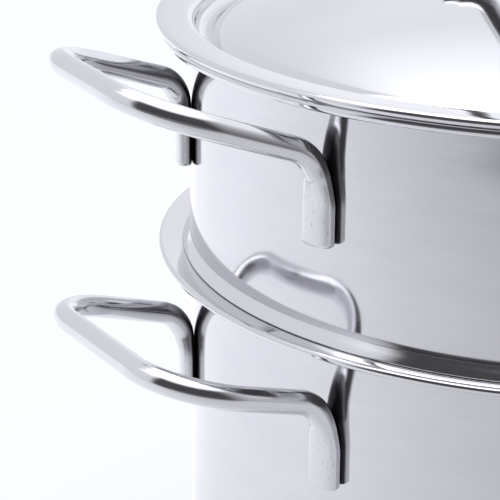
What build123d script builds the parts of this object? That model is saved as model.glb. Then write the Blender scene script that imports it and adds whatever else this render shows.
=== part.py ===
from build123d import *
from math import asin, cos, degrees, radians, sin, sqrt, tan
import os

# Steamer pot: a wide pot with a capsule base, one steamer tier standing in its mouth, and a
# lid on top. The origin is the centre of the base on the table, +Z is up, and the pot's two
# side handles lie along X. Lengths are in millimetres.

os.makedirs("parts", exist_ok=True)

# Sheet metal shared by the pot, the tier and the lid
mouth_diameter = 280.0
sheet = 0.8
tight_bend = 0.5
edge_radius = 1.4
edge_turn_deg = 232.0
lip_root_radius = 4.4
lip_rise_deg = 12.4
seat_gap = 0.3
mouth_gap = 0.6

# Pot
pot_depth = 120.0
pot_lip_reach = 12.1
floor_corner_radius = 10.0

# Capsule base
core_thickness = 4.5
core_inset = 10.0
capsule_sheet = 0.6
capsule_corner_radius = 2.0
bond_gap = 0.05

# Steamer tier
tier_pitch = 82.9
tier_lip_reach = 11.1
shoulder_reach = 2.8
shoulder_lean_deg = 37.0
skirt_depth = 15.0
skirt_corner_radius = 5.0
hole_diameter = 8.0
hole_pitch = 21.0
hole_rings = 5
tier_turn_deg = -1.7

# Lid
lid_edge_reach = 12.3
flange_root_radius = 3.3
groove_radius = 3.0
dome_radius = 552.0
dome_crown_height = 10.8
lid_turn_deg = -29.4

# Bent rod handles
rod_diameter = 8.5
rod_bend_radius = 12.5
handle_leg_spacing = 100.6
leg_length = 30.8
pad_width = 12.1
pad_thickness = 5.8
pad_flat_share = 0.45
pot_handle_drop = 22.0
pot_handle_arm = 56.9
pot_handle_grip_width = 103.0
pot_handle_corner_radius = 26.5
pot_handle_tilt_deg = 15.9
pot_left_handle_skew = 3.9
tier_handle_drop = 17.3
tier_handle_arm = 57.2
tier_handle_grip_width = 85.0
tier_handle_corner_radius = 29.8
tier_handle_tilt_deg = 19.1

# Lid handle
arch_foot_span = 97.0
arch_root_span = 66.0
arch_top_span = 44.0
arch_height = 37.0
arch_root_bend_radius = 11.0
arch_top_bend_radius = 15.0
foot_pad_length = 7.0

# Sizes that follow from the ones above
mouth_radius = mouth_diameter / 2
wall_radius = mouth_radius + sheet
plug_radius = mouth_radius - mouth_gap - sheet
lip_rise = radians(lip_rise_deg)
lip_start_radius = mouth_radius + lip_root_radius * (1 - sin(lip_rise))
rod_radius = rod_diameter / 2
base_thickness = capsule_sheet + core_thickness + 2 * bond_gap
pot_floor_z = base_thickness + sheet
pot_rim_z = pot_floor_z + pot_depth
tier_rim_z = pot_rim_z + tier_pitch
shoulder_z = pot_rim_z + seat_gap + sheet
tier_floor_z = pot_rim_z + seat_gap - skirt_depth + sheet
bend_out = tight_bend + sheet


def lip_line(wall_top, lip_reach):
    """Flared lip and rolled edge, drawn on from the top of a wall's inner face."""
    root = JernArc(wall_top, (0, 1), lip_root_radius, lip_rise_deg - 90)
    edge_start = wall_radius + lip_reach - edge_radius * (1 + sin(lip_rise))
    run = PolarLine(root @ 1, (edge_start - (root @ 1).X) / cos(lip_rise), lip_rise_deg)
    edge = JernArc(run @ 1, run % 1, edge_radius, -edge_turn_deg)
    return [root, run, edge]


def lip_edge_centre(rim_z, lip_reach):
    """Radius and height of the centre of a lip's rolled edge."""
    centre_r = wall_radius + lip_reach - edge_radius
    run = centre_r - edge_radius * sin(lip_rise) - lip_start_radius
    return centre_r, rim_z + run * tan(lip_rise) - edge_radius * cos(lip_rise)


def spun_sheet(lines):
    """Sheet of even thickness under a line of radius and height, spun about Z."""
    edges = [line.edge() for line in lines]
    outline = Wire(edges).offset_2d(sheet, kind=Kind.ARC, side=Side.RIGHT, closed=True)
    return revolve(Plane.XZ * make_face(outline), Axis.Z)


def disc(radius, thickness, base_z):
    """Flat round plate whose underside is at base_z."""
    return Pos(0, 0, base_z + thickness / 2) * Cylinder(radius, thickness)


def bent_wire(points, radii):
    """Straight runs joined by a round bend at each inner point."""
    edges = []
    start = Vector(*points[0])
    for before, corner, after, radius in zip(points, points[1:], points[2:], radii):
        corner = Vector(*corner)
        back = (Vector(*before) - corner).normalized()
        ahead = (Vector(*after) - corner).normalized()
        half = radians(back.get_angle(ahead)) / 2
        bend_in = corner + back * (radius / tan(half))
        bend_out_point = corner + ahead * (radius / tan(half))
        middle = corner + (back + ahead).normalized() * (radius / sin(half) - radius)
        edges.append(Line(start, bend_in).edge())
        edges.append(ThreePointArc(bend_in, middle, bend_out_point).edge())
        start = bend_out_point
    edges.append(Line(start, Vector(*points[-1])).edge())
    return Wire(edges)


def rod(points, radii):
    """Round rod swept along straight runs and bends."""
    path = bent_wire(points, radii)
    return sweep(Plane(origin=path @ 0, z_dir=path % 0) * Circle(rod_radius), path=path)


def pressed_end(centre, down, outward, length):
    """Rod end pressed to a flat oval, its back in line with the rod's back."""
    flat_length = length * pad_flat_share
    round_end = Plane(origin=centre, x_dir=outward, z_dir=down) * Circle(rod_radius)
    pad_start = centre + down * (length - flat_length) - outward * (rod_radius - pad_thickness / 2)
    oval = Ellipse(pad_thickness / 2, pad_width / 2)
    pad = Plane(origin=pad_start, x_dir=outward, z_dir=down) * oval
    return loft([round_end, pad]) + extrude(pad, amount=flat_length, dir=down)


def side_handle(leg_top_z, arm, grip_width, corner_radius, tilt_deg, skew=0):
    """Side handle on the +X side: a tilted loop of rod on two upright pressed legs.

    Its leg on the +Y side is welded on higher than the other leg, by the skew.
    """
    leg_y = handle_leg_spacing / 2
    leg_radius = wall_radius + bond_gap + rod_radius
    leg_x = sqrt(leg_radius ** 2 - leg_y ** 2)
    grip_z = leg_top_z + arm * tan(radians(tilt_deg))
    halves = []
    for side in (1, -1):
        leg_z = leg_top_z + side * skew / 2
        corner_z = grip_z + side * skew / 2 * grip_width / handle_leg_spacing
        bend_start = (leg_x, side * leg_y, leg_z - rod_bend_radius)
        corner = (leg_x + arm, side * grip_width / 2, corner_z)
        halves.append([bend_start, (leg_x, side * leg_y, leg_z), corner])
    bends = [rod_bend_radius, corner_radius, corner_radius, rod_bend_radius]
    handle = rod(halves[0] + halves[1][::-1], bends)
    for bend_start, _, _ in halves:
        start = Vector(*bend_start)
        outward = Vector(start.X, start.Y, 0).normalized()
        handle += pressed_end(start, Vector(0, 0, -1), outward, leg_length - rod_bend_radius)
    return handle


# Pot vessel: floor, wall, flared lip and rolled edge in one sheet
lip_root_drop = lip_root_radius * cos(lip_rise)
pot_floor = Line((0, pot_floor_z), (mouth_radius - floor_corner_radius, pot_floor_z))
pot_corner = JernArc(pot_floor @ 1, (1, 0), floor_corner_radius, 90)
pot_wall = Line(pot_corner @ 1, (mouth_radius, pot_rim_z - lip_root_drop))
pot_body = spun_sheet([pot_floor, pot_corner, pot_wall] + lip_line(pot_wall @ 1, pot_lip_reach))

# Capsule base: aluminium disc closed in by a steel cup
core_radius = mouth_radius - core_inset
base_core = disc(core_radius, core_thickness, capsule_sheet + bond_gap)
capsule_radius = core_radius + bond_gap + capsule_sheet
base_capsule = disc(capsule_radius, capsule_sheet + core_thickness + bond_gap, 0)
bottom_edge = base_capsule.edges().group_by(Axis.Z)[0]
base_capsule = fillet(bottom_edge, capsule_corner_radius)
base_core = chamfer(base_core.edges().group_by(Axis.Z)[0], capsule_corner_radius)
core_pocket = disc(core_radius + bond_gap, core_thickness + bond_gap, capsule_sheet)
base_capsule -= chamfer(core_pocket.edges().group_by(Axis.Z)[0], capsule_corner_radius)

# Steamer tier: perforated floor, plug skirt, shoulder, wall and lip in one sheet
floor_run = Line((0, tier_floor_z), (plug_radius - skirt_corner_radius, tier_floor_z))
skirt_corner = JernArc(floor_run @ 1, (1, 0), skirt_corner_radius, 90)
skirt = Line(skirt_corner @ 1, (plug_radius, shoulder_z - bend_out))
shoulder_in = JernArc(skirt @ 1, (0, 1), bend_out, -90)
shoulder_end = wall_radius + shoulder_reach - bend_out
shoulder_floor = Line(shoulder_in @ 1, (shoulder_end, shoulder_z))
shoulder_fold = JernArc(shoulder_floor @ 1, (1, 0), tight_bend, 90 + shoulder_lean_deg)
lean = radians(shoulder_lean_deg)
lean_run = (shoulder_fold @ 1).X - mouth_radius - bend_out * (1 - cos(lean))
shoulder_side = PolarLine(shoulder_fold @ 1, lean_run / sin(lean), 90 + shoulder_lean_deg)
wall_foot = JernArc(shoulder_side @ 1, shoulder_side % 1, bend_out, -shoulder_lean_deg)
tier_wall = Line(wall_foot @ 1, (mouth_radius, tier_rim_z - lip_root_drop))
tier_lines = [floor_run, skirt_corner, skirt, shoulder_in, shoulder_floor, shoulder_fold]
tier_lines += [shoulder_side, wall_foot, tier_wall]
steamer_body = spun_sheet(tier_lines + lip_line(tier_wall @ 1, tier_lip_reach))
hole_cutter = disc(hole_diameter / 2, 2 * sheet, tier_floor_z - 1.5 * sheet)
steam_holes = [hole_cutter]
for ring in range(1, hole_rings + 1):
    steam_holes += [loc * hole_cutter for loc in PolarLocations(ring * hole_pitch, 6 * ring)]
steamer_body -= steam_holes

# Lid: dome, sunk groove, collar, flat flange and rolled edge in one sheet
tier_edge_r, tier_edge_z = lip_edge_centre(tier_rim_z, tier_lip_reach)
lid_edge_r = wall_radius + lid_edge_reach - edge_radius
edge_spacing = 2 * edge_radius + seat_gap
lid_edge_z = tier_edge_z + sqrt(edge_spacing ** 2 - (lid_edge_r - tier_edge_r) ** 2)
flange_z = lid_edge_z + edge_radius
crown_z = flange_z + dome_crown_height
dome_half_deg = degrees(asin((plug_radius - groove_radius) / (dome_radius + groove_radius)))
dome = JernArc((0, crown_z), (1, 0), dome_radius, -dome_half_deg)
groove = JernArc(dome @ 1, dome % 1, groove_radius, dome_half_deg + 90)
collar = Line(groove @ 1, (plug_radius, flange_z - flange_root_radius))
flange_root = JernArc(collar @ 1, (0, 1), flange_root_radius, -90)
flange = Line(flange_root @ 1, (lid_edge_r, flange_z))
lid_edge = JernArc(flange @ 1, (1, 0), edge_radius, -edge_turn_deg)
lid = spun_sheet([dome, groove, collar, flange_root, flange, lid_edge])


def arch_handle():
    """Lid handle along X: an arch of rod on two feet that lie on the dome."""
    foot_x = arch_foot_span / 2
    root_x = arch_root_span / 2
    rod_path_radius = dome_radius + rod_radius + bond_gap
    dome_centre_z = crown_z - dome_radius
    foot_z = dome_centre_z + sqrt(rod_path_radius ** 2 - foot_x ** 2)
    root_z = dome_centre_z + sqrt(rod_path_radius ** 2 - root_x ** 2)
    slope = Vector(root_x - foot_x, 0, root_z - foot_z).normalized()
    pad_start = Vector(foot_x, 0, foot_z) + slope * foot_pad_length
    top_z = root_z + arch_height
    left = [(-pad_start.X, 0, pad_start.Z), (-root_x, 0, root_z), (-arch_top_span / 2, 0, top_z)]
    points = left + [(-x, y, z) for x, y, z in reversed(left)]
    bends = [arch_root_bend_radius, arch_top_bend_radius]
    handle = rod(points, bends + bends[::-1])
    for side in (1, -1):
        out = Vector(-slope.X * side, 0, -slope.Z)
        up = Vector(slope.Z * side, 0, -slope.X)
        start = Vector(pad_start.X * side, 0, pad_start.Z)
        handle += pressed_end(start, out, up, foot_pad_length)
    return handle


# Handles, each turned to its place on its own body
pot_handle_shape = [pot_rim_z - pot_handle_drop, pot_handle_arm, pot_handle_grip_width,
                    pot_handle_corner_radius, pot_handle_tilt_deg]
tier_handle = side_handle(tier_rim_z - tier_handle_drop, tier_handle_arm,
                          tier_handle_grip_width, tier_handle_corner_radius,
                          tier_handle_tilt_deg)

nodes = {
    "pot_body": pot_body,
    "base_core": base_core,
    "base_capsule": base_capsule,
    "pot_handle_right": side_handle(*pot_handle_shape),
    "pot_handle_left": Rot(0, 0, 180) * side_handle(*pot_handle_shape, pot_left_handle_skew),
    "steamer_body": steamer_body,
    "steamer_handle_right": Rot(0, 0, tier_turn_deg) * tier_handle,
    "steamer_handle_left": Rot(0, 0, 180 + tier_turn_deg) * tier_handle,
    "lid": lid,
    "lid_handle": Rot(0, 0, lid_turn_deg) * arch_handle(),
}
for name, shape in nodes.items():
    export_step(shape, f"parts/{name}.step")
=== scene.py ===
"""Steamer pot: a pot, a steamer tier and a lid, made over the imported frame, in metres."""

import math
from collections import namedtuple

import bpy
from mathutils import Matrix, Quaternion, Vector


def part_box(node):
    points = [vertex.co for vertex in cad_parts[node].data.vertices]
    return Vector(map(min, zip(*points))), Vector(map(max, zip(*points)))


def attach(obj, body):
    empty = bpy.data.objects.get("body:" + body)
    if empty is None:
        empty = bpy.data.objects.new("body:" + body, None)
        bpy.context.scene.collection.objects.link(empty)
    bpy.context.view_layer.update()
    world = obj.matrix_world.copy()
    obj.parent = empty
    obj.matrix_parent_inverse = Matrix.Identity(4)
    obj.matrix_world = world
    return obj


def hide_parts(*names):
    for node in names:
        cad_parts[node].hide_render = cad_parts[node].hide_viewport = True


bl_info = {
    "name": "Steamer Pot",
    "version": (1, 0, 0),
    "blender": (4, 5, 0),
    "location": "View3D > Sidebar > Steamer Pot",
    "description": "Builds a stainless steel steamer pot, piece by piece, on its CAD frame",
    "category": "Add Mesh",
}

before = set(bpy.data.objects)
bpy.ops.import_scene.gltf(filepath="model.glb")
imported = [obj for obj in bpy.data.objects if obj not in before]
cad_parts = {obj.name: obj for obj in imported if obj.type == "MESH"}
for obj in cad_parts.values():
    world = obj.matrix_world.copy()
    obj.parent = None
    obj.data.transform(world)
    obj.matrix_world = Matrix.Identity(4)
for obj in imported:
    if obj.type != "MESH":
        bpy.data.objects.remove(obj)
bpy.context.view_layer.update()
MM = 0.001
IMAGE_PIXELS = 500
# Bearing from the pot to the viewer, by which the room's sides are laid out
VIEWER = math.radians(-129.5)

# Sheet lines carry one of these finishes on each run
BRUSHED, POLISHED = 0, 1
# Fineness: steps of bends, parts of the dome, and corners round a spun sheet, a rod, the
# perforated plate and one of its holes
BEND_STEP, LIP_STEP, EDGE_STEP, FOLD_STEP, ROLL_STEP = map(math.radians, (6, 4, 10, 12, 3))
DOME_PARTS, SPUN_SEGMENTS, ROD_SEGMENTS, PLATE_SEGMENTS, HOLE_SEGMENTS = 48, 288.0, 40.0, 192, 20
ROD_STEP, ROD_TURN_STEP = 1.5 * MM, math.radians(4)
# Points that lie closer are one: on the skins, and on the perforated plate
SKIN_WELD, PLATE_WELD = 0.0002 * MM, 0.001 * MM
# Attribute that marks a sheet's polished faces until they have their material
FACE_FINISH = "finish_face"
# The shoulder's lower edge is folded hard and sits close: shares of tight bend and seat gap
FOLD_SHARE, SEAT_SHARE = 0.1, 0.2
# Cup of the capsule base
CUP_SHEET, CUP_CORNER = 0.6 * MM, 2.0 * MM
# A pressed end: how square it gets, how fast it turns to the wall, how far the dies bite into
# the bend, and the slope from which the arch counts as upright
PRESSED_SQUARE, TURN_IN, PRESS_INTO_BEND, UPRIGHT = 0.3, 3, 0.2, 0.9
# Rounded cap of a rod: its height, and for each ring how far it draws in and pushes out
CAP_HEIGHT = 0.7 * MM
CAP_RINGS = ((0.0, 1.0), (0.55, 1.0), (0.84, 0.92), (0.95, 0.62), (1.0, 0.0))
# Room: ends of a fade, its dark side, its ceiling, and how much of the table glows
SOFT, STRAIGHT = "SMOOTHSTEP", "LINEAR"
DARK_LEVEL, CEILING_LEVEL, GLOW_SHARE = 0.085, 1.65, 0.85
# Filled by main, and read by the operators
materials, trees = {}, {}


# ---------------------------------------------------------------- user sizes and colours


def length(name, description, millimetres):
    """A length property with its default given in millimetres."""
    return bpy.props.FloatProperty(
        name=name, description=description, default=millimetres * MM, unit="LENGTH", precision=5
    )


def angle(name, description, degrees):
    """An angle property with its default given in degrees."""
    return bpy.props.FloatProperty(
        name=name, description=description, default=math.radians(degrees), unit="ROTATION"
    )


def colour(name, description, hex_value):
    """A colour property with its default given as an sRGB hex value."""
    return bpy.props.FloatVectorProperty(
        name=name, description=description, default=linear(hex_value), subtype="COLOR", size=4,
        min=0.0, max=1.0,
    )


def linear(hex_value):
    """An sRGB hex value such as C8CACC as linear red, green, blue and alpha."""
    parts = [int(hex_value[i : i + 2], 16) / 255 for i in (0, 2, 4)]
    levels = (p / 12.92 if p <= 0.04045 else ((p + 0.055) / 1.055) ** 2.4 for p in parts)
    return (*levels, 1.0)


class VesselSizes(bpy.types.PropertyGroup):
    """Sheet metal of the pot, the tier and the lid."""

    mouth_radius: length("Mouth radius", "Inside radius of the pot and the tier", 140)
    sheet: length("Sheet", "Thickness of the sheet metal", 0.8)
    tight_bend: length("Tight bend", "Inside radius of a pressed fold", 0.5)
    edge_radius: length("Edge radius", "Radius of a rolled edge", 1.4)
    edge_turn: angle("Edge turn", "How far a rolled edge curls round", 232)
    lip_root_radius: length("Lip root", "Radius where a wall flares into its lip", 4.4)
    lip_rise: angle("Lip rise", "Slope of a lip", 12.4)
    pot_floor_z: length("Pot floor", "Height of the pot's floor", 6.0)
    pot_depth: length("Pot depth", "From the pot's floor to its lip", 120)
    pot_lip_reach: length("Pot lip", "How far the pot's lip reaches out", 12.1)
    floor_corner: length("Floor corner", "Radius between floor and wall", 10)
    tier_pitch: length("Tier pitch", "From the pot's lip to the tier's lip", 82.9)
    tier_lip_reach: length("Tier lip", "How far the tier's lip reaches out", 11.1)
    tier_lip_rise: angle("Tier lip rise", "Slope of the tier's lip", 19.5)
    tier_edge_radius: length("Tier edge radius", "Radius of the tier's rolled edge", 1.8)
    seat_gap: length("Seat gap", "Gap between stacked pieces", 0.3)
    mouth_gap: length("Mouth gap", "Gap between a plug and a mouth", 0.6)
    shoulder_reach: length("Shoulder", "How far the tier's shoulder stands out", 2.8)
    shoulder_lean: angle("Shoulder lean", "Lean of the shoulder's side", 37)
    crease_radius: length("Crease", "Radius of the shoulder's lower edge", 0.4)
    skirt_depth: length("Skirt", "How deep the tier plugs into the pot", 15)
    skirt_corner: length("Skirt corner", "Radius at the foot of the skirt", 5)
    floor_plate_radius: length("Perforated radius", "Radius of the perforated plate", 112)
    hole_diameter: length("Hole diameter", "Diameter of a steam hole", 8)
    hole_pitch: length("Hole pitch", "Distance between rings of holes", 21)
    hole_rings: bpy.props.IntProperty(
        name="Hole rings", description="Rings of steam holes round the middle one", default=5, min=1
    )


class LidSizes(bpy.types.PropertyGroup):
    """Lid and its handle."""

    edge_reach: length("Edge reach", "How far the lid's edge reaches out past the wall", 12.3)
    flange_root: length("Flange root", "Radius between collar and flange", 3.3)
    groove_radius: length("Groove radius", "Radius at the bottom of the groove", 4)
    dome_radius: length("Dome radius", "Radius of the dome's curve", 552)
    crown_height: length("Crown height", "How far the dome's top stands over the flange", 10.8)
    flange_rise: angle("Flange rise", "Upward slope of the flange", 4)
    roll_radius: length("Roll radius", "Radius where the dome rolls down to its groove", 14)
    roll_turn: angle("Roll turn", "How steep the dome rolls down to its groove", 45)
    turn: angle("Turn", "How far the lid stands turned on the tier", -29.4)
    foot_span: length("Foot span", "Across the ends of the lid handle's feet", 97)
    root_span: length("Root span", "Between the arch's roots", 66)
    top_span: length("Top span", "Length of the arch's top", 44)
    arch_height: length("Arch height", "Height of the arch over the dome", 37)
    root_bend: length("Root bend", "Bend radius at the arch's roots", 11)
    top_bend: length("Top bend", "Bend radius at the arch's top", 15)
    foot_pad: length("Foot pad", "Length of a foot that is pressed flat", 7)


class HandleSizes(bpy.types.PropertyGroup):
    """Bent rod side handles."""

    rod_diameter: length("Rod", "Diameter of the rod", 8.5)
    bend_radius: length("Bend radius", "Bend between a leg and the loop", 12.5)
    leg_spacing: length("Leg spacing", "Between the two legs", 100.6)
    leg_length: length("Leg length", "From a leg's foot to the loop", 30.8)
    pad_width: length("Pad width", "Width of a leg where it is pressed flat", 12.1)
    pad_thickness: length("Pad thickness", "Thickness of a leg where it is pressed flat", 5.8)
    pad_flat_share: bpy.props.FloatProperty(
        name="Flat share", description="Share of a pressed end that is fully flat", default=0.45,
        min=0.0, max=1.0, subtype="FACTOR",
    )
    weld_gap: length("Weld gap", "Gap between a leg and the wall", 0.05)
    pot_drop: length("Pot drop", "From the pot's lip down to its handles", 22)
    pot_arm: length("Pot arm", "Reach of the pot's handles", 56.9)
    pot_grip: length("Pot grip", "Width of the pot's handles", 103)
    pot_corner: length("Pot corner", "Corner radius of the pot's handles", 26.5)
    pot_tilt: angle("Pot tilt", "Upward slope of the pot's handles", 15.9)
    pot_left_skew: length("Pot left skew", "How much higher one leg of the left one stands", 3.9)
    tier_drop: length("Tier drop", "From the tier's lip down to its handles", 17.3)
    tier_arm: length("Tier arm", "Reach of the tier's handles", 57.2)
    tier_grip: length("Tier grip", "Width of the tier's handles", 85)
    tier_corner: length("Tier corner", "Corner radius of the tier's handles", 29.8)
    tier_tilt: angle("Tier tilt", "Upward slope of the tier's handles", 19.1)
    tier_turn: angle("Tier turn", "How far the tier stands turned on the pot", -1.7)


class StudioSettings(bpy.types.PropertyGroup):
    """Colours of the steel and of the studio."""

    steel: colour("Steel", "Colour of the bare stainless steel", "D5D5D8")
    brushed: colour("Brush lines", "Colour of the steel down in its brush lines", "CCCCD0")
    pits: colour("Pits", "Colour of the small pits where the dies pressed the rod", "A9A9AC")
    # Painted shade: dark colour on the backs of the legs, between them and the wall
    painted_leg_shade: colour("Painted leg shade", "Colour of a leg's back, dulled by the heat of its weld", "505054")
    aluminium: colour("Aluminium", "Colour of the base's core", "C9CBCD")
    table: colour("Table", "Colour of the table", "F4F5F7")
    glare: colour("Glare", "Colour of the white surroundings as the eye sees them", "F9FDFF")
    cloth: colour("Softbox cloth", "Colour of the lit room as the steel shows it", "F8F9FF")


# ---------------------------------------------------------------- lines and paths


class SheetLine:
    """Line of radius and height on one face of a sheet, with the way it heads at each point."""

    def __init__(self, radius, height, heading=0.0):
        self.points = [(radius, height, heading, BRUSHED)]
        # Points whose other face is drawn out to a crease: shift, and depth in place of the sheet
        self.creased = {}

    @property
    def end(self):
        """Radius, height, heading and finish of the last point."""
        return self.points[-1]

    def run(self, distance, finish=BRUSHED, parts=1):
        """Straight run on the present heading."""
        radius, height, heading, _ = self.end
        self.points[-1] = (radius, height, heading, finish)
        for i in range(1, parts + 1):
            step = distance * i / parts
            place = (radius + step * math.cos(heading), height + step * math.sin(heading))
            self.points.append((*place, heading, finish))

    def bend(self, bend_radius, turn, finish=BRUSHED, step=BEND_STEP):
        """Round bend; a positive turn is to the left."""
        radius, height, heading, _ = self.end
        self.points[-1] = (radius, height, heading, finish)
        side = math.copysign(1, turn)
        centre = (
            radius - side * bend_radius * math.sin(heading),
            height + side * bend_radius * math.cos(heading),
        )
        count = max(2, math.ceil(abs(turn) / step))
        for i in range(1, count + 1):
            way = heading + turn * i / count
            place = (
                centre[0] + side * bend_radius * math.sin(way),
                centre[1] - side * bend_radius * math.cos(way),
            )
            self.points.append((*place, way, finish))

    def fold(self, bend_radius, turn, sheet, crease, finish=BRUSHED):
        """Tight left bend whose outer face comes to a crease of the given radius."""
        first, middle = len(self.points), self.end[2] + turn / 2
        self.bend(bend_radius, turn, finish, FOLD_STEP)
        reach = (bend_radius + sheet - crease) / math.cos(turn / 2)
        shift = (reach * math.sin(middle), -reach * math.cos(middle))
        for index in range(first, len(self.points)):
            self.creased[index] = (shift, crease - bend_radius)

    def to_radius(self, radius, finish=BRUSHED, parts=1):
        """Straight run that ends at a radius."""
        self.run((radius - self.end[0]) / math.cos(self.end[2]), finish, parts)

    def to_height(self, height, finish=BRUSHED, parts=1):
        """Straight run that ends at a height."""
        self.run((height - self.end[1]) / math.sin(self.end[2]), finish, parts)

    def outline(self, thickness):
        """Points of this face and then, back again, of the sheet's other face."""
        face = [(r, z, finish) for r, z, _, finish in self.points]
        back = []
        for index, (r, z, way, finish) in enumerate(self.points):
            shift, depth = self.creased.get(index, ((0.0, 0.0), thickness))
            place = (r + shift[0] + depth * math.sin(way), z + shift[1] - depth * math.cos(way))
            back.append((*place, finish))
        # A run takes its finish from the point it starts at, so the way back shifts by one
        shifted = [
            (*place[:2], before[2]) for place, before in zip(back[::-1], back[-2::-1] + back[:1])
        ]
        return face + shifted


def heights(vessel):
    """Rims of the pot and the tier, worked out from the sizes as the CAD source does."""
    pot_rim = vessel.pot_floor_z + vessel.pot_depth
    return pot_rim, pot_rim + vessel.tier_pitch


def outer_wall(vessel):
    """Outside radius of the pot's and the tier's walls."""
    return vessel.mouth_radius + vessel.sheet


def rolled_edge(line, vessel, radius, edge):
    """Adds a straight run out to a radius and the rolled edge that ends it."""
    line.to_radius(radius, POLISHED, parts=3)
    line.bend(edge, -vessel.edge_turn, POLISHED, EDGE_STEP)


def wall_and_lip(line, vessel, rim, reach, rise, edge):
    """Adds a wall, its flared lip and its rolled edge to a sheet line that heads up."""
    line.to_height(rim - vessel.lip_root_radius * math.cos(vessel.lip_rise), parts=8)
    line.bend(vessel.lip_root_radius, rise - math.pi / 2, POLISHED, LIP_STEP)
    rolled_edge(line, vessel, outer_wall(vessel) + reach - edge * (1 + math.sin(rise)), edge)


def lid_heights(vessel, lid):
    """Radius of the lid's rolled edge, set on the tier's, its flange's height and its crown."""
    _, tier_rim = heights(vessel)
    rise, edge, wall = vessel.lip_rise, vessel.edge_radius, outer_wall(vessel)
    tier_edge_r = wall + vessel.tier_lip_reach - edge
    start = vessel.mouth_radius + vessel.lip_root_radius * (1 - math.sin(rise))
    run = tier_edge_r - edge * math.sin(rise) - start
    tier_edge_z = tier_rim + run * math.tan(rise) - edge * math.cos(rise)
    edge_r = wall + lid.edge_reach - edge
    spacing = 2 * edge + vessel.seat_gap
    flange_z = tier_edge_z + math.sqrt(spacing**2 - (edge_r - tier_edge_r) ** 2) + edge
    return edge_r, flange_z, flange_z + lid.crown_height


def bent_path(corners, radii):
    """Points along straight runs joined by round bends, closer together in the bends."""
    corners = [Vector(c) for c in corners]
    points = [corners[0]]

    def straight(to):
        first = points[-1].copy()
        count = max(1, math.ceil((to - first).length / ROD_STEP))
        points.extend(first.lerp(to, i / count) for i in range(1, count + 1))

    for before, corner, after, radius in zip(corners, corners[1:], corners[2:], radii):
        back, ahead = (before - corner).normalized(), (after - corner).normalized()
        half = back.angle(ahead) / 2
        straight(corner + back * (radius / math.tan(half)))
        centre = corner + (back + ahead).normalized() * (radius / math.sin(half))
        first = points[-1] - centre
        last = corner + ahead * (radius / math.tan(half)) - centre
        turn = first.rotation_difference(last)
        count = max(4, math.ceil(first.angle(last) / ROD_TURN_STEP))
        for i in range(1, count + 1):
            points.append(centre + Quaternion().slerp(turn, i / count) @ first)
    straight(corners[-1])
    return points


def squared(axis, ahead):
    """Axis brought square to the way ahead."""
    return (axis - ahead * axis.dot(ahead)).normalized()


def carried_axes(points, first_axis):
    """Axis across the path and way ahead at each point, carried along without twisting."""
    axes, axis = [], Vector(first_axis)
    for i, point in enumerate(points):
        ahead = points[min(i + 1, len(points) - 1)] - points[max(i - 1, 0)]
        ahead.normalize()
        axis = squared(axis, ahead)
        axes.append((axis.copy(), ahead))
    return axes


# One ring of a bent rod: centre, two half widths as vectors, the power that its round is drawn
# with (1 is round and less is squarer), and how far it is pressed flat
RodRow = namedtuple("RodRow", "centre across along power pressed")


def rod_rows(points, axes, handle, pressed, outward_at):
    """Rings along a rod, with both its ends pressed to a flat oval over the length `pressed`."""
    flat = pressed * handle.pad_flat_share
    radius = handle.rod_diameter / 2
    lengths = [0.0]
    for before, after in zip(points, points[1:]):
        lengths.append(lengths[-1] + (after - before).length)
    rows = []
    for point, (axis, ahead), at in zip(points, axes, lengths):
        nearest = min(at, lengths[-1] - at)
        share = min(max((pressed - nearest) / (pressed - flat), 0.0), 1.0)
        share = share * share * (3 - 2 * share)
        outward = squared(outward_at(point, axis, ahead, min(1.0, TURN_IN * share)), ahead)
        half_thick = radius + (handle.pad_thickness / 2 - radius) * share
        half_wide = radius + (handle.pad_width / 2 - radius) * share
        sideways = ahead.cross(outward).normalized()
        rows.append(
            RodRow(
                point - outward * (radius - half_thick), outward * half_thick,
                sideways * half_wide, 1 - PRESSED_SQUARE * share, share,
            )
        )
    return close_rod(rows, axes)


def close_rod(rows, axes):
    """Adds a slightly rounded cap to both ends of a rod."""
    caps = [
        [
            RodRow(
                row.centre + out * CAP_HEIGHT * (push - 1), row.across * shrink,
                row.along * shrink, row.power, row.pressed,
            )
            for shrink, push in CAP_RINGS
        ]
        for row, out in ((rows[0], -axes[0][1]), (rows[-1], axes[-1][1]))
    ]
    return caps[0] + rows[1:-1] + caps[1][::-1]


# ---------------------------------------------------------------- node trees


def node(tree, kind, inputs=None, **settings):
    """Adds a node, sets its properties, and links or sets each named input.

    A node as an input stands for its first output in use, and a list links all that it holds.
    """
    made = tree.nodes.new(kind)
    for name, value in settings.items():
        setattr(made, name, value)
    for key, value in (inputs or {}).items():
        for part in value if isinstance(value, list) else [value]:
            if isinstance(part, bpy.types.Node):
                part = next(socket for socket in part.outputs if socket.enabled)
            if isinstance(part, bpy.types.NodeSocket):
                tree.links.new(part, made.inputs[key])
            else:
                made.inputs[key].default_value = part
    return made


def geometry_tree(name, numbers, dresses):
    """A new Geometry Nodes tree, and its inputs: Geometry, numbers and materials by name."""
    tree = bpy.data.node_groups.new(name, "GeometryNodeTree")
    tree.interface.new_socket("Geometry", in_out="OUTPUT", socket_type="NodeSocketGeometry")
    kinds = {"Geometry": "NodeSocketGeometry"}
    kinds.update({label: "NodeSocketFloat" for label in numbers})
    kinds.update({label: "NodeSocketMaterial" for label in dresses})
    for label, kind in kinds.items():
        tree.interface.new_socket(label, in_out="INPUT", socket_type=kind)
    return tree, node(tree, "NodeGroupInput").outputs


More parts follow.
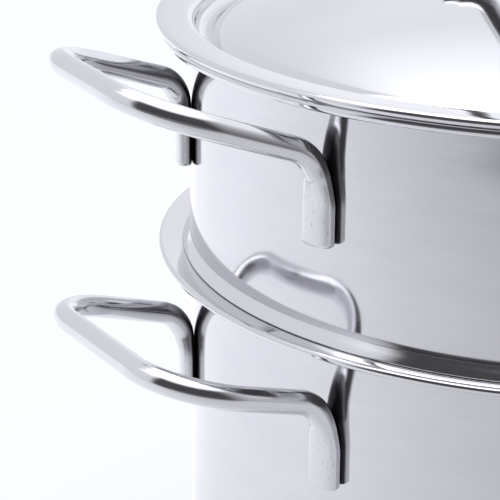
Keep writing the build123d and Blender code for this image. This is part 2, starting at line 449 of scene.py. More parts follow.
def rows_and_columns(tree, source, around):
    """Grid with a column for each point of the source and `around` rows, and its numbers."""
    size = node(tree, "GeometryNodeAttributeDomainSize", {0: source}, component="MESH")
    columns = size.outputs["Point Count"]
    rows = node(tree, "ShaderNodeMath", {0: around, 1: 1.0}, operation="ADD")
    grid = node(tree, "GeometryNodeMeshGrid", {"Vertices X": columns, "Vertices Y": rows})
    index = node(tree, "GeometryNodeInputIndex")
    # Half a step keeps the divisions clear of whole numbers
    middle = node(tree, "ShaderNodeMath", {0: index, 1: 0.5}, operation="ADD")
    share = node(tree, "ShaderNodeMath", {0: middle, 1: rows}, operation="DIVIDE")
    column = node(tree, "ShaderNodeMath", {0: share}, operation="FLOOR")
    row = node(tree, "ShaderNodeMath", {0: index, 1: rows}, operation="MODULO")
    row_share = node(tree, "ShaderNodeMath", {0: row, 1: around}, operation="DIVIDE")
    turn = node(tree, "ShaderNodeMath", {0: row_share, 1: math.tau}, operation="MULTIPLY")
    face_share = node(tree, "ShaderNodeMath", {0: middle, 1: around}, operation="DIVIDE")
    face_column = node(tree, "ShaderNodeMath", {0: face_share}, operation="FLOOR")
    return grid, column, turn, face_column


def sample(tree, source, kind, name, column):
    """A point attribute of the source, read at a column."""
    value = node(tree, "GeometryNodeInputNamedAttribute", {"Name": name}, data_type=kind)
    return node(
        tree, "GeometryNodeSampleIndex", {"Geometry": source, "Value": value, "Index": column},
        data_type=kind, domain="POINT",
    )


def closed_skin(tree, mesh):
    """Merges the doubles along a skin's seams and at its poles, and smooths it."""
    merged = node(tree, "GeometryNodeMergeByDistance", {"Geometry": mesh, "Distance": SKIN_WELD})
    return node(tree, "GeometryNodeSetShadeSmooth", {"Geometry": merged})


def dressed(tree, mesh, material):
    """The last steps of each tree: real geometry, with its material."""
    real = node(tree, "GeometryNodeRealizeInstances", {"Geometry": mesh})
    return node(tree, "GeometryNodeSetMaterial", {"Geometry": real, "Material": material})


def spun_sheet_tree():
    """Tree that spins a sheet's closed outline about the pot's axis."""
    tree, given = geometry_tree("spun_sheet", ["Segments"], ["Wall", "Rim"])
    source = given["Geometry"]
    grid, column, turn, face_column = rows_and_columns(tree, source, given["Segments"])
    place = sample(tree, source, "FLOAT_VECTOR", "position", column)
    turned = node(
        tree, "ShaderNodeVectorRotate", {"Vector": place, "Angle": turn}, rotation_type="Z_AXIS"
    )
    skin = node(tree, "GeometryNodeSetPosition", {"Geometry": grid, "Position": turned})
    finish = sample(tree, source, "FLOAT", "finish", face_column)
    marked = node(
        tree, "GeometryNodeStoreNamedAttribute",
        {"Geometry": skin, "Name": FACE_FINISH, "Value": finish},
        data_type="FLOAT", domain="FACE",
    )
    mark = node(tree, "GeometryNodeInputNamedAttribute", {"Name": FACE_FINISH}, data_type="FLOAT")
    polished = node(
        tree, "FunctionNodeCompare", {0: mark, 1: (BRUSHED + POLISHED) / 2},
        data_type="FLOAT", operation="GREATER_THAN",
    )
    wall = dressed(tree, closed_skin(tree, marked), given["Wall"])
    both = node(
        tree, "GeometryNodeSetMaterial",
        {"Geometry": wall, "Selection": polished, "Material": given["Rim"]},
    )
    node(tree, "NodeGroupOutput", {"Geometry": both})
    return tree


def swept_rod_tree():
    """Tree that skins the rings of a bent rod, each round or pressed towards a rectangle."""
    tree, given = geometry_tree("swept_rod", ["Segments"], ["Rod"])
    source = given["Geometry"]
    grid, column, turn, _ = rows_and_columns(tree, source, given["Segments"])
    power = sample(tree, source, "FLOAT", "power", column)
    offsets = []
    for operation, name in (("COSINE", "across"), ("SINE", "along")):
        wave = node(tree, "ShaderNodeMath", {0: turn}, operation=operation)
        size = node(tree, "ShaderNodeMath", {0: wave}, operation="ABSOLUTE")
        drawn = node(tree, "ShaderNodeMath", {0: size, 1: power}, operation="POWER")
        sign = node(tree, "ShaderNodeMath", {0: wave}, operation="SIGN")
        reach = node(tree, "ShaderNodeMath", {0: drawn, 1: sign}, operation="MULTIPLY")
        axis = sample(tree, source, "FLOAT_VECTOR", name, column)
        offsets.append(
            node(tree, "ShaderNodeVectorMath", {0: axis, "Scale": reach}, operation="SCALE")
        )
    ring = node(tree, "ShaderNodeVectorMath", {0: offsets[0], 1: offsets[1]}, operation="ADD")
    centre = sample(tree, source, "FLOAT_VECTOR", "position", column)
    place = node(tree, "ShaderNodeVectorMath", {0: centre, 1: ring}, operation="ADD")
    skin = node(tree, "GeometryNodeSetPosition", {"Geometry": grid, "Position": place})
    pressed = sample(tree, source, "FLOAT", "pressed", column)
    marked = node(
        tree, "GeometryNodeStoreNamedAttribute",
        {"Geometry": skin, "Name": "pressed", "Value": pressed},
        data_type="FLOAT", domain="POINT",
    )
    rod = dressed(tree, closed_skin(tree, marked), given["Rod"])
    node(tree, "NodeGroupOutput", {"Geometry": rod})
    return tree


def perforated_plate_tree():
    """Tree that cuts rings of round holes in a round plate."""
    numbers = ["Radius", "Thickness", "Height", "Hole radius"]
    tree, given = geometry_tree("perforated_plate", numbers, ["Plate"])
    rim, hole = (
        node(
            tree, "GeometryNodeCurvePrimitiveCircle",
            {"Resolution": corners, "Radius": given[label]}, mode="RADIUS",
        )
        for label, corners in (("Radius", PLATE_SEGMENTS), ("Hole radius", HOLE_SEGMENTS))
    )
    holes = node(
        tree, "GeometryNodeInstanceOnPoints", {"Points": given["Geometry"], "Instance": hole}
    )
    joined = node(tree, "GeometryNodeJoinGeometry", {"Geometry": [rim, holes]})
    real = node(tree, "GeometryNodeRealizeInstances", {"Geometry": joined})
    face = node(tree, "GeometryNodeFillCurve", {"Curve": real}, mode="TRIANGLES")
    solid = node(
        tree, "GeometryNodeExtrudeMesh",
        {"Mesh": face, "Offset Scale": given["Thickness"], "Individual": False}, mode="FACES",
    )
    other = node(tree, "GeometryNodeFlipFaces", {"Mesh": face})
    both = node(tree, "GeometryNodeJoinGeometry", {"Geometry": [solid, other]})
    merged = node(tree, "GeometryNodeMergeByDistance", {"Geometry": both, "Distance": PLATE_WELD})
    up = node(tree, "ShaderNodeCombineXYZ", {"Z": given["Height"]})
    placed = node(tree, "GeometryNodeTransform", {"Geometry": merged, "Translation": up})
    node(tree, "NodeGroupOutput", {"Geometry": dressed(tree, placed, given["Plate"])})
    return tree


def grown(name, source, tree, values):
    """Runs a tree on a source mesh and returns the result as a plain piece, faces outward."""
    maker = bpy.data.objects.new(name + "_source", source)
    bpy.context.scene.collection.objects.link(maker)
    modifier = maker.modifiers.new("grow", "NODES")
    modifier.node_group = tree
    for item in tree.interface.items_tree:
        if item.item_type == "SOCKET" and item.in_out == "INPUT" and item.name in values:
            modifier[item.identifier] = values[item.name]
    graph = bpy.context.evaluated_depsgraph_get()
    mesh = bpy.data.meshes.new_from_object(maker.evaluated_get(graph), depsgraph=graph)
    bpy.data.objects.remove(maker)
    if not len(mesh.polygons):
        raise RuntimeError(f"{name} came out empty")
    if FACE_FINISH in mesh.attributes:
        mesh.attributes.remove(mesh.attributes[FACE_FINISH])
    if enclosed_volume(mesh) < 0:
        mesh.flip_normals()
    mesh.name = name
    made = bpy.data.objects.new(name, mesh)
    bpy.context.scene.collection.objects.link(made)
    return made


def enclosed_volume(mesh):
    """Volume inside a closed mesh, negative if its faces point inwards."""
    mesh.calc_loop_triangles()
    corner = [v.co for v in mesh.vertices]
    total = 0.0
    for triangle in mesh.loop_triangles:
        a, b, c = (corner[i] for i in triangle.vertices)
        total += a.dot(b.cross(c)) / 6
    return total


def spun(name, outline, wall="brushed"):
    """Piece spun from a closed outline of radius, height and finish."""
    source = bpy.data.meshes.new(name + "_line")
    # The ring starts half a step round, which keeps its corners inside the frame's box
    start = Matrix.Rotation(math.pi / SPUN_SEGMENTS, 3, "Z")
    source.from_pydata([start @ Vector((r, 0, z)) for r, z, _ in outline], [], [])
    finish = source.attributes.new("finish", "FLOAT", "POINT")
    finish.data.foreach_set("value", [float(f) for _, _, f in outline])
    values = {"Segments": SPUN_SEGMENTS, "Wall": materials[wall], "Rim": materials["mirror"]}
    return grown(name, source, trees["sheet"], values)


def bent_rod(name, rows, turn):
    """Piece skinned from rod rings, turned about Z to its place."""
    spin = Matrix.Rotation(turn, 3, "Z")
    source = bpy.data.meshes.new(name + "_path")
    source.from_pydata([spin @ row.centre for row in rows], [], [])
    for key in ("across", "along"):
        axis = source.attributes.new(key, "FLOAT_VECTOR", "POINT")
        flat = [part for row in rows for part in spin @ getattr(row, key)]
        axis.data.foreach_set("vector", flat)
    for key in ("power", "pressed"):
        share = source.attributes.new(key, "FLOAT", "POINT")
        share.data.foreach_set("value", [getattr(row, key) for row in rows])
    return grown(name, source, trees["rod"], {"Segments": ROD_SEGMENTS, "Rod": materials["rod"]})


# ---------------------------------------------------------------- materials and room


def shader(name):
    """A new material and its empty tree."""
    made = bpy.data.materials.new(name)
    made.use_nodes = True
    made.node_tree.nodes.clear()
    return made, made.node_tree


def bare_metal(tree, tint, haze, bump):
    """Metal of a colour, a roughness and a bump, as the material's surface."""
    metal = node(
        tree, "ShaderNodeBsdfPrincipled",
        {"Base Color": tint, "Metallic": 1.0, "Roughness": haze, "Normal": bump},
    )
    node(tree, "ShaderNodeOutputMaterial", {"Surface": metal})


def relief(tree, depth, pattern):
    """A noise pattern, and the bump that it makes at a depth."""
    noise = node(tree, "ShaderNodeTexNoise", pattern)
    bump = node(tree, "ShaderNodeBump", {"Height": noise, "Strength": 1.0, "Distance": depth})
    return noise, bump


def grained(tree, width, run, depth):
    """Fine grain that runs round the pot: noise drawn out along the circle, and its bump."""
    place = node(tree, "ShaderNodeTexCoord").outputs["Object"]
    parts = node(tree, "ShaderNodeSeparateXYZ", {0: place}).outputs
    squares, scaled = [], []
    for part in parts[:2]:
        squares.append(node(tree, "ShaderNodeMath", {0: part, 1: 2.0}, operation="POWER"))
        scaled.append(node(tree, "ShaderNodeMath", {0: part, 1: 1 / run}, operation="MULTIPLY"))
    total = node(tree, "ShaderNodeMath", {0: squares[0], 1: squares[1]}, operation="ADD")
    radius = node(tree, "ShaderNodeMath", {0: total}, operation="SQRT")
    profile = node(tree, "ShaderNodeMath", {0: radius, 1: parts[2]}, operation="ADD")
    fine = node(tree, "ShaderNodeMath", {0: profile, 1: 1 / width}, operation="MULTIPLY")
    vector = node(tree, "ShaderNodeCombineXYZ", {0: scaled[0], 1: scaled[1], 2: fine})
    return relief(tree, depth, {"Vector": vector, "Scale": 1.0, "Detail": 3.0, "Roughness": 0.6})


def brushed_steel(settings):
    """18/10 stainless sheet, belt-brushed round the wall: fine level lines over a soft mirror."""
    made, tree = shader("stainless_brushed_round")
    # Brush lines are about 0.1 mm; drawn at 0.35 mm, because finer ones vanish in the render
    fine, lines = grained(tree, 0.35 * MM, 25 * MM, 0.0012 * MM)
    place = node(tree, "ShaderNodeTexCoord").outputs["Object"]
    # Belt pressure varies in soft patches about 30 mm wide and 8 mm high
    patchy = node(tree, "ShaderNodeMapping", {"Vector": place, "Scale": (33, 33, 125)})
    patch = node(tree, "ShaderNodeTexNoise", {"Vector": patchy, "Scale": 1.0, "Detail": 2.0})
    both = node(tree, "ShaderNodeMath", {0: fine, 1: patch}, operation="ADD")
    haze = node(
        tree, "ShaderNodeMapRange",
        {"Value": both, "From Min": 0.6, "From Max": 1.4, "To Min": 0.05, "To Max": 0.11},
    )
    tone = node(tree, "ShaderNodeMapRange", {"Value": both, "From Min": 0.4, "From Max": 1.6})
    shade = node(
        tree, "ShaderNodeMix", {0: tone, 6: settings.steel, 7: settings.brushed}, data_type="RGBA"
    )
    bare_metal(tree, shade, haze, lines)
    return made


def mirror_steel(settings):
    """18/10 stainless sheet, buffed to a mirror: a clear reflection with a faint haze."""
    made, tree = shader("stainless_mirror_polished")
    place = node(tree, "ShaderNodeTexCoord").outputs["Object"]
    # Buffing leaves waves about 12 mm long that bend the reflection slightly
    pattern = {"Vector": place, "Scale": 1 / (12 * MM), "Detail": 1.0}
    waves, bump = relief(tree, 0.004 * MM, pattern)
    haze = node(tree, "ShaderNodeMapRange", {"Value": waves, "To Min": 0.06, "To Max": 0.10})
    bare_metal(tree, settings.steel, haze, bump)
    return made


def painted_leg_back_shade(tree, place, wall_radius):
    """Share of a leg's back, on the side of the wall, that gets painted shade and a dull finish."""
    level = node(tree, "ShaderNodeVectorMath", {0: place, 1: (1.0, 1.0, 0.0)}, operation="MULTIPLY")
    reach = node(tree, "ShaderNodeVectorMath", {0: level}, operation="LENGTH")
    outward = node(tree, "ShaderNodeVectorMath", {0: level}, operation="NORMALIZE")
    skin = node(tree, "ShaderNodeNewGeometry").outputs["Normal"]
    facing = node(tree, "ShaderNodeVectorMath", {0: skin, 1: outward}, operation="DOT_PRODUCT")
    # It starts where the skin turns to the wall, and is full before the skin faces it squarely
    back = node(
        tree, "ShaderNodeMapRange", {"Value": facing, "From Min": -0.2, "From Max": -0.75},
        interpolation_type=SOFT,
    )
    off = node(tree, "ShaderNodeMath", {0: reach, 1: wall_radius}, operation="SUBTRACT")
    gap = node(tree, "ShaderNodeMath", {0: off}, operation="ABSOLUTE")
    # Past 30 mm from the wall the rod is the loop, which gets no painted shade
    near = node(
        tree, "ShaderNodeMapRange", {"Value": gap, "From Min": 30 * MM, "From Max": 10 * MM},
        interpolation_type=SOFT,
    )
    return node(tree, "ShaderNodeMath", {0: back, 1: near}, operation="MULTIPLY")


def rod_steel(settings, wall_radius):
    """Drawn stainless rod: a bright skin, and grainy satin where dies pressed the ends flat."""
    made, tree = shader("stainless_rod_drawn")
    place = node(tree, "ShaderNodeTexCoord").outputs["Object"]
    pressed = node(tree, "ShaderNodeAttribute", attribute_name="pressed").outputs["Fac"]
    # Drawing leaves shallow waves about 5 mm long, which bend the reflections a little
    pattern = {"Vector": place, "Scale": 1 / (5 * MM), "Detail": 2.0}
    waves, skin = relief(tree, 0.002 * MM, pattern)
    # Die grain is about 0.6 mm across and drawn out down the leg to 2.4 mm
    drawn = node(tree, "ShaderNodeMapping", {"Vector": place, "Scale": (1700, 1700, 420)})
    grain = node(
        tree, "ShaderNodeTexNoise",
        {"Vector": drawn, "Scale": 1.0, "Detail": 3.0, "Roughness": 0.65},
    )
    depth = node(tree, "ShaderNodeMapRange", {"Value": pressed, "To Min": 0.0, "To Max": 0.03 * MM})
    marks = node(
        tree, "ShaderNodeBump",
        {"Height": grain, "Strength": 1.0, "Distance": depth, "Normal": skin},
    )
    bright = node(tree, "ShaderNodeMapRange", {"Value": waves, "To Min": 0.12, "To Max": 0.18})
    satin = node(tree, "ShaderNodeMapRange", {"Value": grain, "To Min": 0.15, "To Max": 0.30})
    haze = node(tree, "ShaderNodeMix", {0: pressed, 2: bright, 3: satin})
    # Pits of about 0.5 mm stay dark where the dies bit
    pits = node(tree, "ShaderNodeMapRange", {"Value": grain, "From Min": 0.6, "From Max": 0.72})
    pitted = node(tree, "ShaderNodeMath", {0: pits, 1: pressed}, operation="MULTIPLY")
    shade = node(
        tree, "ShaderNodeMix", {0: pitted, 6: settings.steel, 7: settings.pits}, data_type="RGBA"
    )
    # No wheel reaches behind a leg, so its back stays dull; its dark colour is painted shade
    shaded_and_dull = painted_leg_back_shade(tree, place, wall_radius)
    tone = node(tree, "ShaderNodeMix", {0: shaded_and_dull, 6: shade, 7: settings.painted_leg_shade}, data_type="RGBA")
    rough = node(tree, "ShaderNodeMix", {0: shaded_and_dull, 2: haze, 3: 0.4})
    bare_metal(tree, tone, rough, marks)
    return made


def turned_aluminium(settings):
    """Cast aluminium disc, skimmed on a lathe: pale, soft, with rings from the tool."""
    made, tree = shader("aluminium_turned")
    fine, rings = grained(tree, 0.5 * MM, 40 * MM, 0.004 * MM)
    haze = node(tree, "ShaderNodeMapRange", {"Value": fine, "To Min": 0.3, "To Max": 0.45})
    bare_metal(tree, settings.aluminium, haze, rings)
    return made


def levels_along(tree, way, level, steps):
    """Level that fades to a new one in each step between two degrees of a bearing or a rise."""
    for start, stop, new_level, ends in steps:
        level = node(
            tree, "ShaderNodeMapRange",
            {"Value": way, "From Min": math.radians(start), "From Max": math.radians(stop),
             "To Min": level, "To Max": new_level},
            interpolation_type=ends,
        )
    return level


def room_sides(tree, place):
    """How far a place or direction lies towards the viewer, its bearing and the dark share."""
    ahead, aside = (
        node(
            tree, "ShaderNodeVectorMath",
            {0: place, 1: (math.cos(VIEWER + turn), math.sin(VIEWER + turn), 0.0)},
            operation="DOT_PRODUCT",
        )
        for turn in (0.0, math.pi / 2)
    )
    bearing = node(tree, "ShaderNodeMath", {0: aside, 1: ahead}, operation="ARCTAN2")
    left = levels_along(tree, bearing, 0.0, [(-57, -48, 1.0, SOFT)])
    right = levels_along(tree, bearing, 1.0, [(48, 110, 0.0, STRAIGHT)])
    dark = node(tree, "ShaderNodeMath", {0: left, 1: right}, operation="MULTIPLY")
    return ahead, bearing, dark


def as_seen(tree, settings, eye, mirrored):
    """Colour and level of the surroundings: plain white to the eye, and as the steel shows it."""
    tint = node(
        tree, "ShaderNodeMix", {0: eye, 6: settings.cloth, 7: settings.glare}, data_type="RGBA"
    )
    return tint, node(tree, "ShaderNodeMix", {0: eye, 2: mirrored, 3: 1.0})


def table_top(settings):
    """Matt white table that reads as white to the eye and in the steel, and keeps a shadow."""
    made, tree = shader("table_matt_white")
    place = node(tree, "ShaderNodeTexCoord").outputs["Object"]
    ahead, bearing, dark = room_sides(tree, place)
    # In the steel the table greys towards the viewer, away from the softboxes, and ends there
    fade = node(
        tree, "ShaderNodeMapRange",
        {"Value": ahead, "From Min": -0.1, "From Max": 0.7, "To Min": 1.31, "To Max": 0.88},
    )
    # The viewer's shadow greys it a little more, and leaves the side and back alone
    shade = levels_along(tree, bearing, 0.0, [(-60, -8, 0.28, STRAIGHT), (60, 120, 0.0, SOFT)])
    lit = node(tree, "ShaderNodeMath", {0: 1.0, 1: shade}, operation="SUBTRACT")
    near = node(tree, "ShaderNodeMath", {0: fade, 1: lit}, operation="MULTIPLY")
    end = node(
        tree, "ShaderNodeMapRange", {"Value": ahead, "From Min": 0.68, "From Max": 0.8},
        interpolation_type=SOFT,
    )
    gone = node(tree, "ShaderNodeMath", {0: end, 1: dark}, operation="MULTIPLY")
    mirrored = node(tree, "ShaderNodeMix", {0: gone, 2: near, 3: DARK_LEVEL})
    path = node(tree, "ShaderNodeLightPath").outputs
    seen = path["Is Camera Ray"]
    tint, level = as_seen(tree, settings, seen, mirrored)
    for ray in ("Is Glossy Ray", "Is Transmission Ray"):
        seen = node(tree, "ShaderNodeMath", {0: seen, 1: path[ray]}, operation="MAXIMUM")
    # The table glows for the most part; the rest is matt and holds the pot's shadow
    share = node(tree, "ShaderNodeMath", {0: seen, 1: GLOW_SHARE}, operation="MULTIPLY")
    matt = node(tree, "ShaderNodeBsdfDiffuse", {"Color": settings.table})
    glow = node(tree, "ShaderNodeEmission", {"Color": tint, "Strength": level})
    both = node(tree, "ShaderNodeMixShader", {0: share, 1: matt, 2: glow})
    node(tree, "ShaderNodeOutputMaterial", {"Surface": both})
    return made


def room_shade(tree, way):
    """Brightness of the room in each direction: softboxes all round but for a dark side."""
    _, bearing, dark = room_sides(tree, way)
    height = node(tree, "ShaderNodeSeparateXYZ", {0: way}).outputs["Z"]
    rise = node(tree, "ShaderNodeMath", {0: height}, operation="ARCSINE")
    # Left wall is a little darker than the right one
    walls = levels_along(tree, bearing, 0.99, [(-10, 10, 1.24, SOFT)])
    # The softbox behind the pot is narrower low down
    off_viewer = node(tree, "ShaderNodeMath", {0: bearing}, operation="ABSOLUTE")
    narrow = levels_along(tree, rise, math.radians(7), [(12, 22, 0.0, SOFT)])
    inside = node(tree, "ShaderNodeMath", {0: off_viewer, 1: narrow}, operation="SUBTRACT")
    behind = levels_along(tree, inside, 0.0, [(160, 169, 1.0, SOFT)])
    # Upwards it grows brighter over its foot, then falls back a little, and is brightest on top
    window = levels_along(
        tree, rise, 1.06, [(0, 6, 1.22, SOFT), (9, 17, 1.1, SOFT), (22, 40, CEILING_LEVEL, SOFT)]
    )
    lit = node(tree, "ShaderNodeMix", {0: behind, 2: walls, 3: window})
    sides = node(tree, "ShaderNodeMix", {0: dark, 2: lit, 3: DARK_LEVEL})
    # The ceiling is one wide softbox, which starts higher over the far left and dips next to it
    lift = levels_along(
        tree, bearing, math.radians(8),
        [(-106, -94, math.radians(-13), SOFT), (-62, -50, 0.0, SOFT)],
    )
    over = node(tree, "ShaderNodeMath", {0: rise, 1: lift}, operation="SUBTRACT")
    ceiling = levels_along(tree, over, 0.0, [(48, 62, 1.0, SOFT)])
    return node(tree, "ShaderNodeMix", {0: ceiling, 2: sides, 3: CEILING_LEVEL})


def make_materials(settings, wall_radius):
    """Makes the materials that the pieces and the table take theirs from."""
    materials.update(
        brushed=brushed_steel(settings),
        mirror=mirror_steel(settings),
        rod=rod_steel(settings, wall_radius),
        aluminium=turned_aluminium(settings),
        table=table_top(settings),
    )


# ---------------------------------------------------------------- operators


class PieceOperator(bpy.types.Operator):
    """Shared settings of the operators that make pieces."""

    bl_options = {"REGISTER", "UNDO"}

    def sizes(self, context):
        """Sizes of the vessels, the lid and the handles."""
        scene = context.scene
        return scene.steamer_vessel, scene.steamer_lid, scene.steamer_handles


class STEAMER_OT_pot(PieceOperator):
    """Make the pot's vessel"""

    bl_idname = "steamer.pot"
    bl_label = "Pot"

    def execute(self, context):
        vessel, _, _ = self.sizes(context)
        pot_rim, _ = heights(vessel)
        line = SheetLine(0.0, vessel.pot_floor_z)
        line.to_radius(vessel.mouth_radius - vessel.floor_corner, parts=12)
        line.bend(vessel.floor_corner, math.pi / 2)
        wall_and_lip(
            line, vessel, pot_rim, vessel.pot_lip_reach, vessel.lip_rise, vessel.edge_radius
        )
        made = spun("pot_vessel", line.outline(vessel.sheet))
        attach(made, "pot")
        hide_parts("pot_body")
        return {"FINISHED"}


class STEAMER_OT_base(PieceOperator):
    """Make the capsule base and finish its core"""

    bl_idname = "steamer.base"
    bl_label = "Base"

    def execute(self, context):
        _, (radius, _, top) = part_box("base_capsule")
        line = SheetLine(0.0, CUP_SHEET)
        line.to_radius(radius - CUP_CORNER, parts=12)
        line.bend(CUP_CORNER - CUP_SHEET, math.pi / 2)
        line.to_height(top)
        made = spun("base_cup", line.outline(CUP_SHEET))
        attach(made, "pot")
        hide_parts("base_capsule")
        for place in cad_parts["base_core"].material_slots:
            place.material = materials["aluminium"]
        return {"FINISHED"}


class STEAMER_OT_tier(PieceOperator):
    """Make the steamer tier and its perforated floor"""

    bl_idname = "steamer.tier"
    bl_label = "Steamer tier"

    def execute(self, context):
        vessel, _, _ = self.sizes(context)
        pot_rim, tier_rim = heights(vessel)
        sheet, lean, crease = vessel.sheet, vessel.shoulder_lean, vessel.crease_radius
        bend_out, fold = vessel.tight_bend + sheet, FOLD_SHARE * vessel.tight_bend
        shoulder_z = pot_rim + SEAT_SHARE * vessel.seat_gap + sheet
        floor_z = pot_rim + vessel.seat_gap - vessel.skirt_depth + sheet
        line = SheetLine(vessel.floor_plate_radius, floor_z)
        plug = vessel.mouth_radius - vessel.mouth_gap - sheet
        line.to_radius(plug - vessel.skirt_corner, parts=3)
        line.bend(vessel.skirt_corner, math.pi / 2)
        line.to_height(shoulder_z - bend_out)
        line.bend(bend_out, -math.pi / 2, POLISHED, FOLD_STEP)
        # The shoulder runs out to its crease and leans back up to the wall
        turn = math.pi / 2 + lean
        hem = (fold + sheet - crease) * math.tan(turn / 2) + crease
        line.to_radius(outer_wall(vessel) + vessel.shoulder_reach - hem, POLISHED)
        line.fold(fold, turn, sheet, crease, POLISHED)
        run = line.end[0] - vessel.mouth_radius - bend_out * (1 - math.cos(lean))
        line.run(run / math.sin(lean), POLISHED, parts=2)
        line.bend(bend_out, -lean, POLISHED)
        wall_and_lip(
            line, vessel, tier_rim, vessel.tier_lip_reach, vessel.tier_lip_rise,
            vessel.tier_edge_radius,
        )
        outline = line.outline(sheet)
        shell = spun("tier_vessel", outline + outline[:1])
        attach(shell, "steamer")
        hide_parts("steamer_body")

        # Steam holes stand in rings of six, twelve and so on round the middle one
        places = [(0.0, 0.0, 0.0)]
        for ring in range(1, vessel.hole_rings + 1):
            reach, count = ring * vessel.hole_pitch, 6 * ring
            for bearing in (math.tau * k / count for k in range(count)):
                places.append((reach * math.cos(bearing), reach * math.sin(bearing), 0.0))
        source = bpy.data.meshes.new("steam_hole_places")
        source.from_pydata(places, [], [])
        values = {
            "Radius": vessel.floor_plate_radius,
            "Thickness": sheet,
            "Height": floor_z - sheet,
            "Hole radius": vessel.hole_diameter / 2,
            "Plate": materials["brushed"],
        }
        plate = grown("tier_floor_plate", source, trees["plate"], values)
        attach(plate, "steamer")
        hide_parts("steamer_body")
        return {"FINISHED"}


class STEAMER_OT_lid(PieceOperator):
    """Make the lid"""

    bl_idname = "steamer.lid"
    bl_label = "Lid"

    def execute(self, context):
        vessel, lid, _ = self.sizes(context)
        edge, groove, roll, steep = (
            vessel.edge_radius, lid.groove_radius, lid.roll_radius, lid.roll_turn
        )
        edge_r, flange_z, crown = lid_heights(vessel, lid)
        plug = vessel.mouth_radius - vessel.mouth_gap - vessel.sheet
        # The dome rolls down to the groove, which ends on the collar inside the tier's mouth
        inner = plug - groove * (1 + math.sin(steep)) - roll * math.sin(steep)
        half = math.asin(inner / (lid.dome_radius - roll))
        line = SheetLine(0.0, crown)
        line.bend(lid.dome_radius, -half, POLISHED, half / DOME_PARTS)
        line.bend(roll, half - steep, POLISHED, ROLL_STEP)
        line.bend(groove, steep + math.pi / 2, POLISHED, LIP_STEP)
        line.to_height(flange_z - lid.flange_root, POLISHED)
        line.bend(lid.flange_root, lid.flange_rise - math.pi / 2, POLISHED, LIP_STEP)
        rolled_edge(line, vessel, edge_r - edge * math.sin(lid.flange_rise), edge)
        made = spun("lid_dome", line.outline(vessel.sheet), "mirror")
        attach(made, "lid")
        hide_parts("lid")
        return {"FINISHED"}


def loop_rows(vessel, handle, leg_top, arm, grip, corner, tilt, skew=0.0):
    """Rings of a side handle on the +X side, whose +Y leg stands higher by the skew."""
    leg_y = handle.leg_spacing / 2
    leg_r = outer_wall(vessel) + handle.weld_gap + handle.rod_diameter / 2
    leg_x = math.sqrt(leg_r**2 - leg_y**2)
    grip_z = leg_top + arm * math.tan(tilt)
    halves = []
    for side in (1, -1):
        top = leg_top + side * skew / 2
        corner_z = grip_z + side * skew / 2 * grip / handle.leg_spacing
        foot = (leg_x, side * leg_y, top - handle.leg_length)
        halves.append([foot, (leg_x, side * leg_y, top), (leg_x + arm, side * grip / 2, corner_z)])
    bend = handle.bend_radius
    points = bent_path(halves[0] + halves[1][::-1], [bend, corner, corner, bend])
    pressed = handle.leg_length - bend * PRESS_INTO_BEND

    def outward(point, axis, ahead, share):
        return axis.lerp(Vector((point.x, point.y, 0)).normalized(), share)

    return rod_rows(points, carried_axes(points, (1, 0, 0)), handle, pressed, outward)


class STEAMER_OT_side_handles(PieceOperator):
    """Make the four side handles"""

    bl_idname = "steamer.side_handles"
    bl_label = "Side handles"

    def execute(self, context):
        vessel, _, handle = self.sizes(context)
        pot_rim, tier_rim = heights(vessel)
        tier_rows = loop_rows(
            vessel, handle, tier_rim - handle.tier_drop, handle.tier_arm, handle.tier_grip,
            handle.tier_corner, handle.tier_tilt,
        )
        for side, turn, skew in (("right", 0.0, 0.0), ("left", math.pi, handle.pot_left_skew)):
            pot_rows = loop_rows(
                vessel, handle, pot_rim - handle.pot_drop, handle.pot_arm, handle.pot_grip,
                handle.pot_corner, handle.pot_tilt, skew,
            )
            pot_loop = bent_rod(f"pot_loop_{side}", pot_rows, turn)
            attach(pot_loop, "pot")
            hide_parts(f"pot_handle_{side}")
            tier_loop = bent_rod(f"tier_loop_{side}", tier_rows, turn + handle.tier_turn)
            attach(tier_loop, "steamer")
            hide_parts(f"steamer_handle_{side}")
        return {"FINISHED"}


class STEAMER_OT_lid_handle(PieceOperator):
    """Make the lid's arched handle"""

    bl_idname = "steamer.lid_handle"
    bl_label = "Lid handle"

    def execute(self, context):
        vessel, lid, handle = self.sizes(context)
        _, _, crown = lid_heights(vessel, lid)
        path_radius = lid.dome_radius + handle.rod_diameter / 2 + handle.weld_gap
        centre_z = crown - lid.dome_radius

        def on_dome(x):
            return (x, 0.0, centre_z + math.sqrt(path_radius**2 - x**2))

        foot, root = on_dome(lid.foot_span / 2), on_dome(lid.root_span / 2)
        half = [foot, root, (lid.top_span / 2, 0.0, root[2] + lid.arch_height)]
        corners = [(-x, y, z) for x, y, z in half] + half[::-1]
        bends = [lid.root_bend, lid.top_bend]
        points = bent_path(corners, bends + bends[::-1])
        first_up = Vector((0, 0, 1))

        def outward(point, axis, ahead, share):
            # Where the arch is upright, no way up lies square to it
            return axis if abs(ahead.z) > UPRIGHT else axis.lerp(squared(first_up, ahead), share)

        axes = carried_axes(points, first_up)
        rows = rod_rows(points, axes, handle, lid.foot_pad, outward)
        made = bent_rod("lid_arch", rows, lid.turn)
        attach(made, "lid")
        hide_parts("lid_handle")
        return {"FINISHED"}


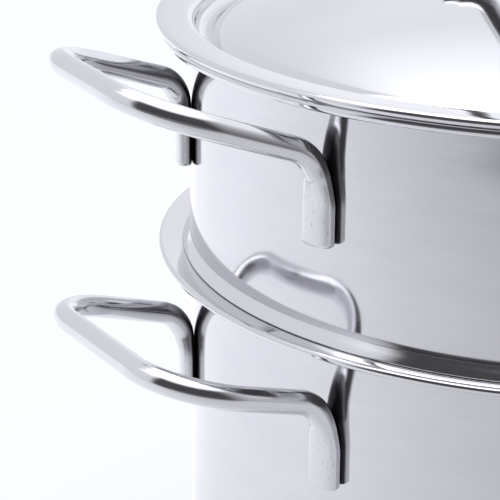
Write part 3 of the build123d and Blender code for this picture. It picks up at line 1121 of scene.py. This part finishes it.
class STEAMER_OT_stage(bpy.types.Operator):
    """Set the table, the room, the lamps and the camera"""

    bl_idname = "steamer.stage"
    bl_label = "Stage"

    def execute(self, context):
        self.table()
        self.room(context.scene, context.scene.steamer_studio)
        self.lamps()
        self.camera(context.scene)
        context.scene.view_settings.view_transform = "Standard"
        return {"FINISHED"}

    def table(self):
        """A wide round table top just under the base."""
        reach, drop, corners = 6.0, 0.2 * MM, 96
        ring = [
            (reach * math.cos(turn), reach * math.sin(turn), -drop)
            for turn in (math.tau * i / corners for i in range(corners))
        ]
        mesh = bpy.data.meshes.new("table_top")
        mesh.from_pydata(ring, [], [list(range(corners))])
        mesh.materials.append(materials["table"])
        top = bpy.data.objects.new("table_top", mesh)
        bpy.context.scene.collection.objects.link(top)

    def room(self, scene, settings):
        """White room with one dark side, as the steel shows it."""
        world = bpy.data.worlds.new("white_room")
        world.use_nodes = True
        tree = world.node_tree
        tree.nodes.clear()
        shade = room_shade(tree, node(tree, "ShaderNodeTexCoord").outputs["Generated"])
        eye = node(tree, "ShaderNodeLightPath").outputs["Is Camera Ray"]
        tint, level = as_seen(tree, settings, eye, shade)
        light = node(tree, "ShaderNodeBackground", {"Color": tint, "Strength": level})
        node(tree, "ShaderNodeOutputWorld", {"Surface": light})
        scene.world = world

    def lamps(self):
        """One wide softbox over the pot."""
        light = bpy.data.lights.new("softbox_top", "AREA")
        light.shape, light.size, light.size_y, light.energy = "RECTANGLE", 1.2, 0.9, 6.0
        lamp = bpy.data.objects.new("softbox_top", light)
        lamp.location = (-0.1, 0.25, 1.3)
        aim = Vector((0, 0, 0.15)) - lamp.location
        lamp.rotation_mode = "QUATERNION"
        lamp.rotation_quaternion = aim.to_track_quat("-Z", "Y")
        bpy.context.scene.collection.objects.link(lamp)

    def camera(self, scene):
        """Camera as fitted to the rims and handles of the reference view."""
        place, focal_pixels, sensor = Vector((-435.9, -528.3, 367.9)) * MM, 1864.0, 36.0
        heading, pitch, roll = math.radians(60.38), 0.353, 0.0048
        forward = Vector(
            (math.cos(heading) * math.cos(pitch), math.sin(heading) * math.cos(pitch),
             -math.sin(pitch))
        )
        right = Vector((math.sin(heading), -math.cos(heading), 0))
        up = right.cross(forward)
        tilted_right = right * math.cos(roll) + up * math.sin(roll)
        tilted_up = up * math.cos(roll) - right * math.sin(roll)
        data = bpy.data.cameras.new("view")
        data.sensor_width = sensor
        data.lens = focal_pixels * sensor / IMAGE_PIXELS
        eye = bpy.data.objects.new("view", data)
        turned = Matrix((tilted_right, tilted_up, -forward)).transposed().to_4x4()
        turned.translation = place
        eye.matrix_world = turned
        scene.collection.objects.link(eye)
        scene.camera = eye


class STEAMER_PT_sidebar(bpy.types.Panel):
    """Sizes, colours and pieces of the steamer pot"""

    bl_idname = "STEAMER_PT_sidebar"
    bl_label = "Steamer Pot"
    bl_space_type = "VIEW_3D"
    bl_region_type = "UI"
    bl_category = "Steamer Pot"

    def draw(self, context):
        for owner in OWNERS:
            box = self.layout.box()
            group = getattr(context.scene, owner)
            box.label(text=type(group).__name__)
            for key in group.bl_rna.properties.keys():
                if key not in ("rna_type", "name"):
                    box.prop(group, key)
        for kind in PIECES + (STEAMER_OT_stage,):
            self.layout.operator(kind.bl_idname, text=kind.bl_label)


OWNERS = {
    "steamer_vessel": VesselSizes,
    "steamer_lid": LidSizes,
    "steamer_handles": HandleSizes,
    "steamer_studio": StudioSettings,
}
PIECES = (
    STEAMER_OT_pot,
    STEAMER_OT_base,
    STEAMER_OT_tier,
    STEAMER_OT_lid,
    STEAMER_OT_side_handles,
    STEAMER_OT_lid_handle,
)
CLASSES = tuple(OWNERS.values()) + PIECES + (STEAMER_OT_stage, STEAMER_PT_sidebar)


def register():
    """Registers the classes and hangs the sizes on the scene."""
    for kind in CLASSES:
        bpy.utils.register_class(kind)
    for name, kind in OWNERS.items():
        setattr(bpy.types.Scene, name, bpy.props.PointerProperty(type=kind))


def unregister():
    """Takes the sizes off the scene and the classes out again."""
    for name in OWNERS:
        delattr(bpy.types.Scene, name)
    for kind in reversed(CLASSES):
        bpy.utils.unregister_class(kind)


def main():
    """Builds the stage and every piece."""
    register()
    scene = bpy.context.scene
    make_materials(scene.steamer_studio, outer_wall(scene.steamer_vessel))
    trees.update(sheet=spun_sheet_tree(), rod=swept_rod_tree(), plate=perforated_plate_tree())
    bpy.ops.steamer.stage()
    bpy.ops.steamer.pot()
    bpy.ops.steamer.base()
    bpy.ops.steamer.tier()
    bpy.ops.steamer.lid()
    bpy.ops.steamer.side_handles()
    bpy.ops.steamer.lid_handle()


if __name__ == "__main__":
    main()
